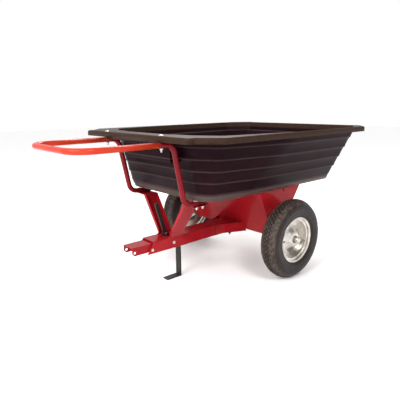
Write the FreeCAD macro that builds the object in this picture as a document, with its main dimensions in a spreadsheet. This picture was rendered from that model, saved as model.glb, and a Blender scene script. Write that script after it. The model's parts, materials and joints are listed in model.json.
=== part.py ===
import FreeCAD, Part
import math
import os
import re

import Sketcher
from FreeCAD import Placement, Rotation, Vector

# Garden dump cart: a moulded tub on a tubular front frame and a folded steel saddle over the
# axle, with a drawbar below that stays level while the bed tips back about the axle.
# X runs forward towards the push handle, Y to the cart's left, Z up. The origin is on the
# ground under the middle of the cart's length.

doc = FreeCAD.newDocument("GardenCart")
sheet = doc.addObject("Spreadsheet::Sheet", "Dimensions")

# Lengths in mm. Distances along X are counted from the axle unless a comment says otherwise.
DIMENSIONS = [
    ("wheel_radius", 203.0),        # also the axle's height
    ("track_half", 398.5),          # middle of the cart to the middle plane of a wheel
    ("tyre_section", 49.5),         # radius of the tyre's round section
    ("rim_lip", 117.0),
    ("axle_radius", 9.5),
    ("axle_half", 451.0),
    ("run_clearance", 0.05),        # radial play of every turning fit
    ("tube_diameter", 25.4),
    ("tube_wall", 1.6),
    ("tube_half_spread", 222.0),    # middle of the cart to each frame tube
    ("handle_reach", 1046.0),       # middle of the crossbar
    ("handle_height", 711.0),
    ("handle_corner", 92.0),
    ("handle_joint", 682.0),        # where the handle plugs into the frame tubes
    ("frame_bend", 46.0),
    ("frame_low", 434.0),           # height of the tubes under the tub
    ("frame_knee", 606.0),          # corner at the top of the front leg
    ("frame_toe", 549.0),           # corner at the foot of the front leg
    ("frame_tail", 424.0),          # rear end of the lower run
    ("floor_height", 450.0),
    ("knuckle_height", 480.0),      # top of the sloped band round the tub's floor
    ("brim_height", 750.0),
    ("skirt_depth", 26.0),
    ("tub_wall", 4.5),
    ("strake_step", 6.0),           # each strake stands out this far past the one below
    ("strake_rise", 53.0),
    ("rim_front", 680.0),
    ("rim_rear", 583.0),
    ("rim_half", 500.0),
    ("front_lip_half", 409.0),
    ("gauge", 3.0),                 # steel sheet
    ("drawbar_half", 38.0),
    ("drawbar_top", 227.0),
    ("drawbar_bottom", 186.0),
    ("drawbar_front", 717.0),
    ("drawbar_rear", 26.0),
    ("hitch_setback", 14.0),        # hitch holes behind the drawbar's front edge
    ("hitch_radius", 6.5),
    ("rail_half", 46.0),
    ("rail_top", 235.0),
    ("rail_bottom", 178.0),
    ("rail_front", 600.0),
    ("rail_nose", 640.0),           # lower front corner of the strut feet
    ("rail_rear", 38.3),
    ("saddle_half", 300.0),
    ("saddle_front_top", 132.0),
    ("saddle_rear_top", 202.0),
    ("saddle_toe", 19.0),           # half length of the side plates under the axle
    ("saddle_low", 188.0),
    ("strut_front", 504.0),
    ("strut_rear", 428.0),
    ("strut_head_half", 168.0),     # middle of the cart to the head of the strut's web
    ("stand_place", 417.0),
    ("stand_width", 38.0),
    ("stand_thick", 6.0),
    ("stand_pin_height", 204.0),
    ("stand_foot", 88.0),
    ("lever_place", 497.0),
    ("lever_width", 20.0),
    ("lever_thick", 6.0),
    ("lever_pivot_height", 246.0),
    ("lever_length", 165.0),
]
for row, (alias, number) in enumerate(DIMENSIONS, 1):
    sheet.set(f"A{row}", alias)
    sheet.set(f"B{row}", str(number))
    sheet.setAlias(f"B{row}", alias)
doc.recompute()

ALIASES = {alias for alias, _ in DIMENSIONS}
AXLE_X = "(rim_rear - handle_reach - tube_diameter / 2) / 2"
SUB_PARTS = []


def value(text):
    """Number that an expression over the sheet's aliases gives."""
    return float(sheet.evalExpression(str(text)))


def bound(text):
    """The same expression, as an object outside the sheet has to write it."""
    def full_name(match):
        word = match.group()
        return "Dimensions." + word if word in ALIASES else word
    return re.sub(r"[a-z_]+", full_name, str(text))


def spot(x="0", y="0", z="0"):
    return Vector(value(x), value(y), value(z))


def mirrored(shape):
    """The twin of a shape on the cart's other side."""
    return shape.mirror(Vector(0, 0, 0), Vector(0, 1, 0))


# ---------------------------------------------------------------- making sub-parts

def settle(thing, label, place):
    """Gives a sub-part its label and binds its place to the sheet."""
    thing.Label = label
    for letter, text in zip("xyz", place):
        thing.setExpression(f"Placement.Base.{letter}", bound(text))
    SUB_PARTS.append(thing)
    return thing


def new_body(label, place=(AXLE_X, "0", "0"), turn=0.0):
    body = doc.addObject("PartDesign::Body", label)
    body.Placement = Placement(spot(*place), Rotation(Vector(0, 0, 1), turn))
    return settle(body, label, place)


def origin_plane(body, role):
    return next(plane for plane in body.Origin.OriginFeatures if plane.Role == role)


def hold(sketch, kind, item, point, text):
    """Ties one coordinate of a sketch point to an expression."""
    if abs(value(text)) < 1e-9:
        axis = -2 if kind == "DistanceX" else -1
        sketch.addConstraint(Sketcher.Constraint("PointOnObject", item, point, axis))
        return
    index = sketch.addConstraint(Sketcher.Constraint(kind, -1, 1, item, point, value(text)))
    sketch.setExpression(f"Constraints[{index}]", bound(text))


def new_sketch(body, role, offset="0"):
    sketch = body.newObject("Sketcher::SketchObject", body.Label + "_sketch")
    sketch.AttachmentSupport = (origin_plane(body, role), "")
    sketch.MapMode = "FlatFace"
    if offset != "0":
        sketch.setExpression("AttachmentOffset.Base.z", bound(offset))
    return sketch


def outline(body, role, corners, offset="0"):
    """Closed straight-sided sketch; each corner is a pair of expressions."""
    sketch = new_sketch(body, role, offset)
    points = [Vector(value(x), value(y), 0) for x, y in corners]
    count = len(points)
    for i in range(count):
        sketch.addGeometry(Part.LineSegment(points[i], points[(i + 1) % count]))
    for i in range(count):
        sketch.addConstraint(Sketcher.Constraint("Coincident", i, 2, (i + 1) % count, 1))
    for i, (x, y) in enumerate(corners):
        hold(sketch, "DistanceX", i, 1, x)
        hold(sketch, "DistanceY", i, 1, y)
    return sketch


def circles(body, role, rings, offset="0"):
    """Sketch of circles; each ring is (x, y, radius) as expressions."""
    sketch = new_sketch(body, role, offset)
    for i, (x, y, radius) in enumerate(rings):
        centre = Vector(value(x), value(y), 0)
        sketch.addGeometry(Part.Circle(centre, Vector(0, 0, 1), value(radius)))
        hold(sketch, "DistanceX", i, 3, x)
        hold(sketch, "DistanceY", i, 3, y)
        index = sketch.addConstraint(Sketcher.Constraint("Radius", i, value(radius)))
        sketch.setExpression(f"Constraints[{index}]", bound(radius))
    return sketch


def extrude(body, kind, sketch, length, both_ways=True, backwards=False):
    """Pad or Pocket of a sketch, by default evenly to both sides of its plane."""
    feature = body.newObject("PartDesign::" + kind, f"{body.Label}_{kind.lower()}")
    feature.Profile = sketch
    feature.Midplane = both_ways
    feature.Reversed = backwards
    feature.setExpression("Length", bound(length))
    sketch.Visibility = False
    return feature


def pad(body, sketch, length, both_ways=True, backwards=False):
    return extrude(body, "Pad", sketch, length, both_ways, backwards)


def pocket(body, sketch, length):
    """Cuts both ways from the sketch, and makes sure that it did cut."""
    doc.recompute()
    before = body.Shape.Volume
    feature = extrude(body, "Pocket", sketch, length)
    doc.recompute()
    if body.Shape.Volume > before - 1.0:
        raise RuntimeError(f"pocket in {body.Label} cut nothing")
    return feature


def turned(label, profile, place, turn=0.0):
    """Body turned about the wheel axis; the profile is (distance along Y, radius) pairs."""
    body = new_body(label, place, turn)
    sketch = outline(body, "YZ_Plane", profile)
    spin = body.newObject("PartDesign::Revolution", label + "_spin")
    spin.Profile = sketch
    spin.ReferenceAxis = (sketch, ["H_Axis"])
    spin.Angle = 360.0
    return body


def solid_part(label, shape, place=(AXLE_X, "0", "0")):
    """Sub-part whose shape comes from Part's own functions."""
    thing = doc.addObject("Part::Feature", label)
    thing.Shape = shape
    thing.Placement = Placement(spot(*place), Rotation())
    return settle(thing, label, place)


def prism(points, low, high):
    """Upright prism over a closed list of plan points."""
    corners = [Vector(x, y, low) for x, y in points]
    wire = Part.makePolygon(corners + corners[:1])
    return Part.Face(wire).extrude(Vector(0, 0, high - low))


# ---------------------------------------------------------------- tub

# Each wall of the tub's left half: the compass angle of its outward normal, then the distance
# from the point above the axle at the floor, at the knuckle and at the brim.
TUB_WALLS = [
    (0.0, 495.0, 506.0, 570.0),
    (31.0, 556.0, 573.0, 636.0),
    (79.0, 386.0, 405.0, 503.0),
    (90.0, 322.0, 356.0, 492.0),
    (121.0, 493.0, 505.0, 629.0),
    (180.0, 462.0, 478.0, 553.0),
]


def wall_crossing(first, second):
    """Plan point where two walls, each (angle, distance), meet."""
    a, b = math.radians(first[0]), math.radians(second[0])
    span = math.sin(b - a)
    x = (first[1] * math.sin(b) - second[1] * math.sin(a)) / span
    y = (second[1] * math.cos(a) - first[1] * math.cos(b)) / span
    return x, y


def tub_plan(distances):
    """Closed plan outline for one distance per wall of the left half."""
    walls = [(wall[0], distance) for wall, distance in zip(TUB_WALLS, distances)]
    left = [wall_crossing(walls[i], walls[i + 1]) for i in range(len(walls) - 1)]
    return left + [(x, -y) for x, y in reversed(left)]


def frustum(low_plan, low, high_plan, high):
    wires = []
    for plan, height in ((low_plan, low), (high_plan, high)):
        corners = [Vector(x, y, height) for x, y in plan]
        wires.append(Part.makePolygon(corners + corners[:1]))
    return Part.makeLoft(wires, True, True)


def stepped_hull(inset, lift, top):
    """Solid inside of the strakes, drawn in by inset, with every level raised by lift."""
    floor, knuckle = value("floor_height"), value("knuckle_height")
    brim, rise, step = value("brim_height"), value("strake_rise"), value("strake_step")
    strakes = int((brim - knuckle) // rise)
    gain = [(wall[3] - wall[2] - (strakes - 1) * step) / (brim - knuckle) for wall in TUB_WALLS]

    def distances(height, steps):
        return [wall[2] + slope * (height - knuckle) + step * steps - inset
                for wall, slope in zip(TUB_WALLS, gain)]

    low_plan = tub_plan([wall[1] - inset for wall in TUB_WALLS])
    pieces = [frustum(low_plan, floor + lift, tub_plan(distances(knuckle, 0)), knuckle + lift)]
    for i in range(strakes):
        low = knuckle + i * rise
        high = knuckle + (i + 1) * rise if i < strakes - 1 else top - lift
        pieces.append(frustum(tub_plan(distances(low, i)), low + lift,
                              tub_plan(distances(high, i)), high + lift))
    return pieces[0].multiFuse(pieces[1:]).removeSplitter()


FRONT_LIP_DEPTH = 30.0
STRAIGHT_SIDE = (-490.0, 566.0)
REAR_CORNER_HALF = 425.0


def rim_plan(inset):
    """Plan outline of the brim: square front lip, cut corners, straight sides."""
    front, rear = value("rim_front") - inset, value("rim_rear") - inset
    half, lip = value("rim_half") - inset, value("front_lip_half") - inset
    side_rear, side_front = STRAIGHT_SIDE
    left = [(front, lip), (front - FRONT_LIP_DEPTH, lip), (side_front - inset / 2, half),
            (side_rear + inset / 2, half), (-rear, REAR_CORNER_HALF - inset / 2)]
    return left + [(x, -y) for x, y in reversed(left)]


def make_tub():
    thick, brim, floor = value("tub_wall"), value("brim_height"), value("floor_height")
    skirt = value("skirt_depth")
    outer = stepped_hull(0.0, 0.0, brim - 1.0)
    inner = stepped_hull(thick, thick, brim + 2.0)
    # The middle of the front wall stands forward above a ledge, between the frame tubes.
    boss_half, boss_back, boss_front, boss_low = 186.0, 480.0, 596.0, 626.0
    boss = [(boss_back, -boss_half), (boss_front, -boss_half),
            (boss_front, boss_half), (boss_back, boss_half)]
    hollow = [(x - thick, y * (boss_half - thick) / boss_half) for x, y in boss]
    outer = outer.fuse(prism(boss, boss_low, brim - 1.0))
    inner = inner.fuse(prism(hollow, boss_low + thick, brim + 2.0))
    rim = prism(rim_plan(0.0), brim - skirt, brim)
    rim = rim.cut(prism(rim_plan(thick), brim - skirt - 1.0, brim - thick))
    tub = outer.fuse(rim).cut(inner)
    # Posts under the brim that bear on the frame tubes, round the handle bolts.
    post_radius, post_gap = 11.0, 0.3
    post_foot = value("handle_height + tube_diameter / 2") + post_gap
    for x, y in HANDLE_BOLTS:
        tub = tub.fuse(Part.makeCylinder(post_radius, brim - 2.0 - post_foot, Vector(x, y, post_foot)))
    # Notches in the rear skirt that part the straight rim from its corners.
    notch_deep, notch_wide, notch_at = 16.0, 10.0, 325.0
    for side in (-1.0, 1.0):
        corner = Vector(-value("rim_rear") - 1.0, side * notch_at - notch_wide / 2, brim - skirt - 1.0)
        tub = tub.cut(Part.makeBox(notch_deep, notch_wide, skirt + 2.0, corner))
    # Bolt holes: handle bolts in the front lip, then frame and saddle bolts in the floor.
    bolt_clearance = 4.3
    for x, y in HANDLE_BOLTS:
        tub = tub.cut(Part.makeCylinder(bolt_clearance, 50.0, Vector(x, y, brim - 40.0)))
    for x, y in FLOOR_BOLTS + SADDLE_BOLTS:
        tub = tub.cut(Part.makeCylinder(bolt_clearance, 12.0, Vector(x, y, floor - 2.0)))
    return tub.removeSplitter()


SPREAD = value("tube_half_spread")
HANDLE_BOLTS = [(value("handle_joint") - 15.0, side * SPREAD) for side in (1, -1)]
FLOOR_BOLTS = [(x, side * SPREAD) for x in (480.0, 443.0) for side in (1, -1)]
SADDLE_BOLTS = [(x, side * 180.0) for x in (112.0, -182.0) for side in (1, -1)]

solid_part("tub", make_tub())


# ---------------------------------------------------------------- handle and frame tubes

def bend_path(corners, radius):
    """Wire of straight runs joined by tangent arcs of one radius."""
    edges = []
    start = corners[0]
    for before, corner, after in zip(corners, corners[1:], corners[2:]):
        inward = (before - corner).normalize()
        outward = (after - corner).normalize()
        half_turn = inward.getAngle(outward) / 2
        reach = radius / math.tan(half_turn)
        first, last = corner + inward * reach, corner + outward * reach
        middle_way = (inward + outward).normalize()
        centre = corner + middle_way * (radius / math.sin(half_turn))
        edges.append(Part.LineSegment(start, first).toShape())
        edges.append(Part.Arc(first, centre - middle_way * radius, last).toShape())
        start = last
    edges.append(Part.LineSegment(start, corners[-1]).toShape())
    return Part.Wire(edges)


def swept_rod(path, radius):
    first = path.Edges[0]
    ring = Part.Circle(first.valueAt(first.FirstParameter), first.tangentAt(first.FirstParameter), radius)
    return path.makePipeShell([Part.Wire([ring.toShape()])], True, False)


def bent_tube(corners, radius):
    path = bend_path(corners, radius)
    outside = value("tube_diameter / 2")
    return swept_rod(path, outside).cut(swept_rod(path, outside - value("tube_wall")))


def bolt_hole(x, y, low, high, radius=4.3):
    return Part.makeCylinder(radius, high - low, Vector(x, y, low))


def make_handle():
    joint, reach, height = value("handle_joint"), value("handle_reach"), value("handle_height")
    corners = [Vector(joint, -SPREAD, height), Vector(reach, -SPREAD, height),
               Vector(reach, SPREAD, height), Vector(joint, SPREAD, height)]
    return bent_tube(corners, value("handle_corner"))


def make_frame_tube(side):
    high, low = value("handle_height"), value("frame_low")
    corners = [Vector(value("handle_joint"), side * SPREAD, high),
               Vector(value("frame_knee"), side * SPREAD, high),
               Vector(value("frame_toe"), side * SPREAD, low),
               Vector(value("frame_tail"), side * SPREAD, low)]
    tube = bent_tube(corners, value("frame_bend"))
    for x, y in FLOOR_BOLTS:
        tube = tube.cut(bolt_hole(x, y, low - 20.0, low + 20.0))
    for x, y in HANDLE_BOLTS:
        tube = tube.cut(bolt_hole(x, y, high - 20.0, high + 20.0))
    return tube


def make_joint_sleeve(side):
    """Swaged plug inside the joint of handle and frame tube."""
    joint = value("handle_joint")
    radius = value("tube_diameter / 2 - tube_wall") - 0.05
    centre = Vector(joint - 32.0, side * SPREAD, value("handle_height"))
    sleeve = Part.makeCylinder(radius, 70.0, centre, Vector(1, 0, 0))
    sleeve = sleeve.cut(Part.makeCylinder(radius - 1.5, 72.0, centre - Vector(1, 0, 0), Vector(1, 0, 0)))
    for x, y in HANDLE_BOLTS:
        sleeve = sleeve.cut(bolt_hole(x, y, centre.z - 20.0, centre.z + 20.0))
    return sleeve


solid_part("push_handle", make_handle())
for name, side in (("left", 1), ("right", -1)):
    solid_part(name + "_frame_tube", make_frame_tube(side))
    solid_part(name + "_handle_plug", make_joint_sleeve(side))


# ---------------------------------------------------------------- struts and bed rail

def make_strut(side):
    """Folded sheet: foot on the rail's side, leaning web, head flange under the frame tube."""
    gauge = value("gauge")
    foot_in = value("rail_half")
    foot_top, foot_low = value("rail_top"), value("rail_bottom")
    head = value("frame_low - tube_diameter / 2")
    head_half = value("strut_head_half")
    front, rear = value("strut_front"), value("strut_rear")
    # Section across the cart: web between the foot's top and the head flange.
    web = [Vector(0, foot_in, foot_top - 12.0), Vector(0, foot_in + gauge, foot_top - 12.0),
           Vector(0, foot_in + gauge, foot_top), Vector(0, head_half + gauge, head - gauge),
           Vector(0, SPREAD + 14.0, head - gauge), Vector(0, SPREAD + 14.0, head),
           Vector(0, head_half, head), Vector(0, foot_in, foot_top)]
    face = Part.Face(Part.makePolygon(web + web[:1]))
    face.translate(Vector(rear, 0, 0))
    strut = face.extrude(Vector(front - rear, 0, 0))
    # Stiffening flanges folded in along the web's front and rear edges.
    for x in (rear, front - gauge):
        rib = [Vector(x, foot_in, foot_top), Vector(x, head_half, head),
               Vector(x, head_half - 16.0, head), Vector(x, foot_in, foot_top + 22.0)]
        strut = strut.fuse(Part.Face(Part.makePolygon(rib + rib[:1])).extrude(Vector(gauge, 0, 0)))
    # Foot plate against the rail, with its sloping nose.
    nose, end = value("rail_nose"), value("rail_front")
    foot = [Vector(nose, foot_in, foot_low), Vector(end, foot_in, foot_top - 4.0),
            Vector(front + 14.0, foot_in, foot_top - 2.0), Vector(front, foot_in, foot_top + 6.0),
            Vector(rear, foot_in, foot_top + 6.0), Vector(rear - 24.0, foot_in, foot_top - 14.0),
            Vector(rear - 40.0, foot_in, foot_low + 4.0), Vector(rear - 36.0, foot_in, foot_low)]
    plate = Part.Face(Part.makePolygon(foot + foot[:1])).extrude(Vector(0, gauge, 0))
    strut = strut.fuse(plate)
    for x, z in RAIL_BOLTS:
        strut = strut.cut(Part.makeCylinder(4.3, 20.0, Vector(x, foot_in - 5.0, z), Vector(0, 1, 0)))
    for x, y in FLOOR_BOLTS:
        strut = strut.cut(bolt_hole(x, abs(y), head - 10.0, head + 10.0))
    strut = strut.removeSplitter()
    return strut if side > 0 else mirrored(strut)


RAIL_BOLTS = [(613.0, 198.0), (483.0, 207.0)]
for name, side in (("left", 1), ("right", -1)):
    solid_part(name + "_strut", make_strut(side))

# Bed rail: inverted channel that sits over the drawbar, with a slot for the latch lever.
rail = new_body("bed_rail")
pad(rail, outline(rail, "XZ_Plane", [
    ("rail_front + 26", "rail_bottom + 3"), ("rail_front", "rail_top"),
    ("rail_rear", "rail_top"), ("rail_rear - 25", "rail_bottom"), ("rail_front + 22", "rail_bottom"),
]), "2 * rail_half")
pocket(rail, outline(rail, "XZ_Plane", [
    ("rail_nose + 20", "rail_bottom - 10"), ("rail_nose + 20", "rail_top - gauge"),
    ("rail_rear - 60", "rail_top - gauge"), ("rail_rear - 60", "rail_bottom - 10"),
]), "2 * rail_half - 2 * gauge")
pocket(rail, outline(rail, "XY_Plane", [
    ("lever_place - 34", "-lever_thick / 2 - 2"), ("lever_place + 34", "-lever_thick / 2 - 2"),
    ("lever_place + 34", "lever_thick / 2 + 2"), ("lever_place - 34", "lever_thick / 2 + 2"),
]), "4 * rail_top")
pocket(rail, circles(rail, "XZ_Plane", [
    ("613", "198", "4.3"), ("483", "207", "4.3"),
]), "3 * rail_half")


def behind_panel():
    """Everything behind the front face of the saddle's front panel."""
    toe, low = value("saddle_toe"), value("saddle_low + 4")
    reach, floor = value("saddle_front_top"), value("floor_height")
    slope = (reach - toe) / (floor - low)
    corners = [Vector(toe - 40.0 * slope, -200.0, low - 40.0), Vector(reach, -200.0, floor),
               Vector(-200.0, -200.0, floor), Vector(-200.0, -200.0, low - 40.0)]
    return Part.Face(Part.makePolygon(corners + corners[:1])).extrude(Vector(0, 400.0, 0))


def make_rail_wing():
    """Flared wing from the rail's side to the saddle's front panel, with a tab along its foot."""
    gauge, half = value("gauge"), value("rail_half")
    low, high = value("rail_bottom + 3"), value("rail_top - 2")
    plan = [(196.0, half), (196.0, half + gauge), (152.0, half + gauge), (10.0, half + 66.0),
            (10.0, half + 63.0), (151.0, half)]
    tab = [(151.0, half + gauge), (60.0, half + 43.7), (76.0, half + gauge)]
    wing = prism(plan, low, high).fuse(prism(tab, low, low + gauge)).cut(behind_panel())
    return wing.cut(bolt_hole(*WING_BOLT, low - 5.0, low + 10.0))


WING_BOLT = (97.0, 58.0)
wing = make_rail_wing()
solid_part("rail_wings", Part.makeCompound([wing, mirrored(wing)]))


# ---------------------------------------------------------------- drawbar, stand and latch

# Drawbar: inverted channel from the hitch back to the axle.
drawbar = new_body("drawbar")
pad(drawbar, outline(drawbar, "XZ_Plane", [
    ("drawbar_front", "drawbar_bottom + 12"), ("drawbar_front", "drawbar_top"),
    ("-drawbar_rear", "drawbar_top"), ("-drawbar_rear", "drawbar_bottom"),
    ("drawbar_front - 12", "drawbar_bottom"),
]), "2 * drawbar_half")
pocket(drawbar, outline(drawbar, "XZ_Plane", [
    ("drawbar_front + 10", "drawbar_bottom - 10"), ("drawbar_front + 10", "drawbar_top - gauge"),
    ("-drawbar_rear - 10", "drawbar_top - gauge"), ("-drawbar_rear - 10", "drawbar_bottom - 10"),
]), "2 * drawbar_half - 2 * gauge")
pocket(drawbar, outline(drawbar, "XY_Plane", [
    ("lever_place - 30", "-lever_thick / 2 - 2"), ("lever_place + 30", "-lever_thick / 2 - 2"),
    ("lever_place + 30", "lever_thick / 2 + 2"), ("lever_place - 30", "lever_thick / 2 + 2"),
]), "4 * drawbar_top")
pocket(drawbar, circles(drawbar, "XZ_Plane", [
    ("drawbar_front - hitch_setback", "drawbar_top - 26", "hitch_radius"),
    ("stand_place", "stand_pin_height", "5"),
]), "3 * drawbar_half")
pocket(drawbar, circles(drawbar, "XZ_Plane", [
    ("0", "wheel_radius", "axle_radius + run_clearance"),
]), "3 * drawbar_half")

# Stand: flat bar with an eye at the top and a foot bent forward.
stand = new_body("stand_leg", (f"{AXLE_X} + stand_place", "0", "0"))
pad(stand, outline(stand, "XZ_Plane", [
    ("-stand_thick / 2", "0"), ("stand_foot", "0"), ("stand_foot", "stand_thick"),
    ("stand_thick / 2", "stand_thick"), ("stand_thick / 2", "stand_pin_height"),
    ("-stand_thick / 2", "stand_pin_height"),
]), "stand_width")
doc.recompute()
pad(stand, circles(stand, "XZ_Plane", [("0", "stand_pin_height", "9")]), "stand_width")
pocket(stand, circles(stand, "XZ_Plane", [
    ("0", "stand_pin_height", "5"),
]), "2 * stand_width")


def cross_pin(x, z, radius, half, head_radius, head):
    """Pin across the cart with a round head on each end."""
    pin = Part.makeCylinder(radius, 2 * half, Vector(x, -half, z), Vector(0, 1, 0))
    for side in (-1, 1):
        disc = Part.makeCylinder(head_radius, head, Vector(x, side * half, z), Vector(0, side, 0))
        pin = pin.fuse(disc)
    return pin.removeSplitter()


solid_part("stand_pin", cross_pin(value("stand_place"), value("stand_pin_height"),
                                  4.95, value("drawbar_half") + 0.2, 8.0, 3.0))

# Latch lever: flat bar that leans forward from a pivot above the rail.
LEVER_LEAN = 17.0
lever = doc.addObject("PartDesign::Body", "latch_lever")
lever.Placement = Placement(spot(f"{AXLE_X} + lever_place", "0", "lever_pivot_height"),
                            Rotation(Vector(0, 1, 0), LEVER_LEAN))
settle(lever, "latch_lever", (f"{AXLE_X} + lever_place", "0", "lever_pivot_height"))
pad(lever, outline(lever, "XZ_Plane", [
    ("-lever_width / 2", "0"), ("lever_width / 2", "0"),
    ("lever_width / 2", "lever_length"), ("-lever_width / 2", "lever_length"),
]), "lever_thick")
pad(lever, circles(lever, "XZ_Plane", [("0", "lever_length", "lever_width / 2")]), "lever_thick")
pad(lever, circles(lever, "XZ_Plane", [("0", "0", "lever_width / 2")]), "lever_thick")
pad(lever, outline(lever, "XZ_Plane", [
    ("-lever_width / 2", "0"), ("lever_width / 2", "0"), ("lever_width / 4", "-28"),
    ("-lever_width / 4", "-28"),
]), "lever_thick")
pocket(lever, circles(lever, "XZ_Plane", [
    ("0", "0", "4.05"), ("0", "lever_length", "4"),
]), "2 * lever_thick")


def make_lever_bracket():
    """Two ears that stand on the rail's web and carry the lever's pivot."""
    x, z, top = value("lever_place"), value("lever_pivot_height"), value("rail_top")
    ears = []
    for side in (-1, 1):
        inside = value("lever_thick / 2") + 0.4
        ear = Part.makeBox(30.0, 3.0, z - top, Vector(x - 15.0, inside, top))
        ear = ear.fuse(Part.makeCylinder(12.0, 3.0, Vector(x, inside, z), Vector(0, 1, 0)))
        ear = ear.fuse(Part.makeBox(30.0, 12.0, 3.0, Vector(x - 15.0, inside, top)))
        below = Part.makeBox(60.0, 40.0, 30.0, Vector(x - 30.0, -1.0, top - 30.0))
        ear = ear.cut(below).cut(Part.makeCylinder(4.05, 20.0, Vector(x, 0, z), Vector(0, 1, 0)))
        ears.append(ear.removeSplitter() if side > 0 else mirrored(ear.removeSplitter()))
    return Part.makeCompound(ears)


solid_part("latch_bracket", make_lever_bracket())
solid_part("latch_pin", cross_pin(value("lever_place"), value("lever_pivot_height"), 4.0, 6.6, 7.0, 3.0))


# ---------------------------------------------------------------- saddle

def saddle_panel(label, sign, reach, notch_top):
    """Sloping panel with a flange under the tub, one along each side plate and a gap for the drawbar."""
    def section(*corners):
        return [(f"{sign}({x})", z) for x, z in corners]

    body = new_body(label)
    pad(body, outline(body, "XZ_Plane", section(
        (reach, "floor_height"), (f"{reach} - 42", "floor_height"),
        ("saddle_toe - 8", "saddle_low + 50"), ("saddle_toe", "saddle_low + 4"),
    )), "2 * saddle_half - 2 * gauge")
    pocket(body, outline(body, "XZ_Plane", section(
        (f"{reach} - 4.7", "floor_height - gauge"), ("saddle_toe - 3.4", "saddle_low + 4"),
        ("saddle_toe - 3.4", "saddle_low - 2"), ("saddle_toe - 70", "saddle_low - 2"),
        (f"{reach} - 70", "floor_height - gauge"),
    )), "2 * saddle_half - 4 * gauge")
    pocket(body, outline(body, "XZ_Plane", section(
        ("-10", "saddle_low - 20"), ("90", "saddle_low - 20"), ("90", notch_top), ("-10", notch_top),
    )), "2 * drawbar_half + 8")
    pocket(body, circles(body, "XY_Plane", [
        (f"{sign}({reach} - 20)", "180", "4.3"), (f"{sign}({reach} - 20)", "-180", "4.3"),
    ], "floor_height"), "12")
    return body


saddle_panel("saddle_front_panel", "", "saddle_front_top", "rail_top - gauge + 1")
saddle_panel("saddle_rear_panel", "-", "saddle_rear_top", "drawbar_top + 19")

for name, side in (("left", "-"), ("right", "")):
    plate = new_body(name + "_saddle_plate")
    # The XZ plane faces -Y, so the left plate's sketch is offset the other way.
    offset = f"{side}(saddle_half - gauge / 2)"
    pad(plate, outline(plate, "XZ_Plane", [
        ("saddle_front_top + 2", "floor_height"), ("-saddle_rear_top - 2", "floor_height"),
        ("-saddle_toe", "saddle_low"), ("saddle_toe", "saddle_low"),
    ], offset), "gauge")
    pocket(plate, circles(plate, "XZ_Plane", [
        ("0", "wheel_radius", "axle_radius + run_clearance"), ("-58", "floor_height - 18", "5"),
    ], offset), "3 * gauge")


# ---------------------------------------------------------------- axle and wheels

WHEEL_PLACES = (("left", "track_half", 0.0), ("right", "-track_half", 180.0))
HUB_HALF = 40.0
TYRE_MOUTH = 46.0       # gap between the tyre's beads

axle = new_body("axle", (AXLE_X, "0", "wheel_radius"))
pad(axle, circles(axle, "XZ_Plane", [("0", "0", "axle_radius")]), "2 * axle_half")

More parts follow.
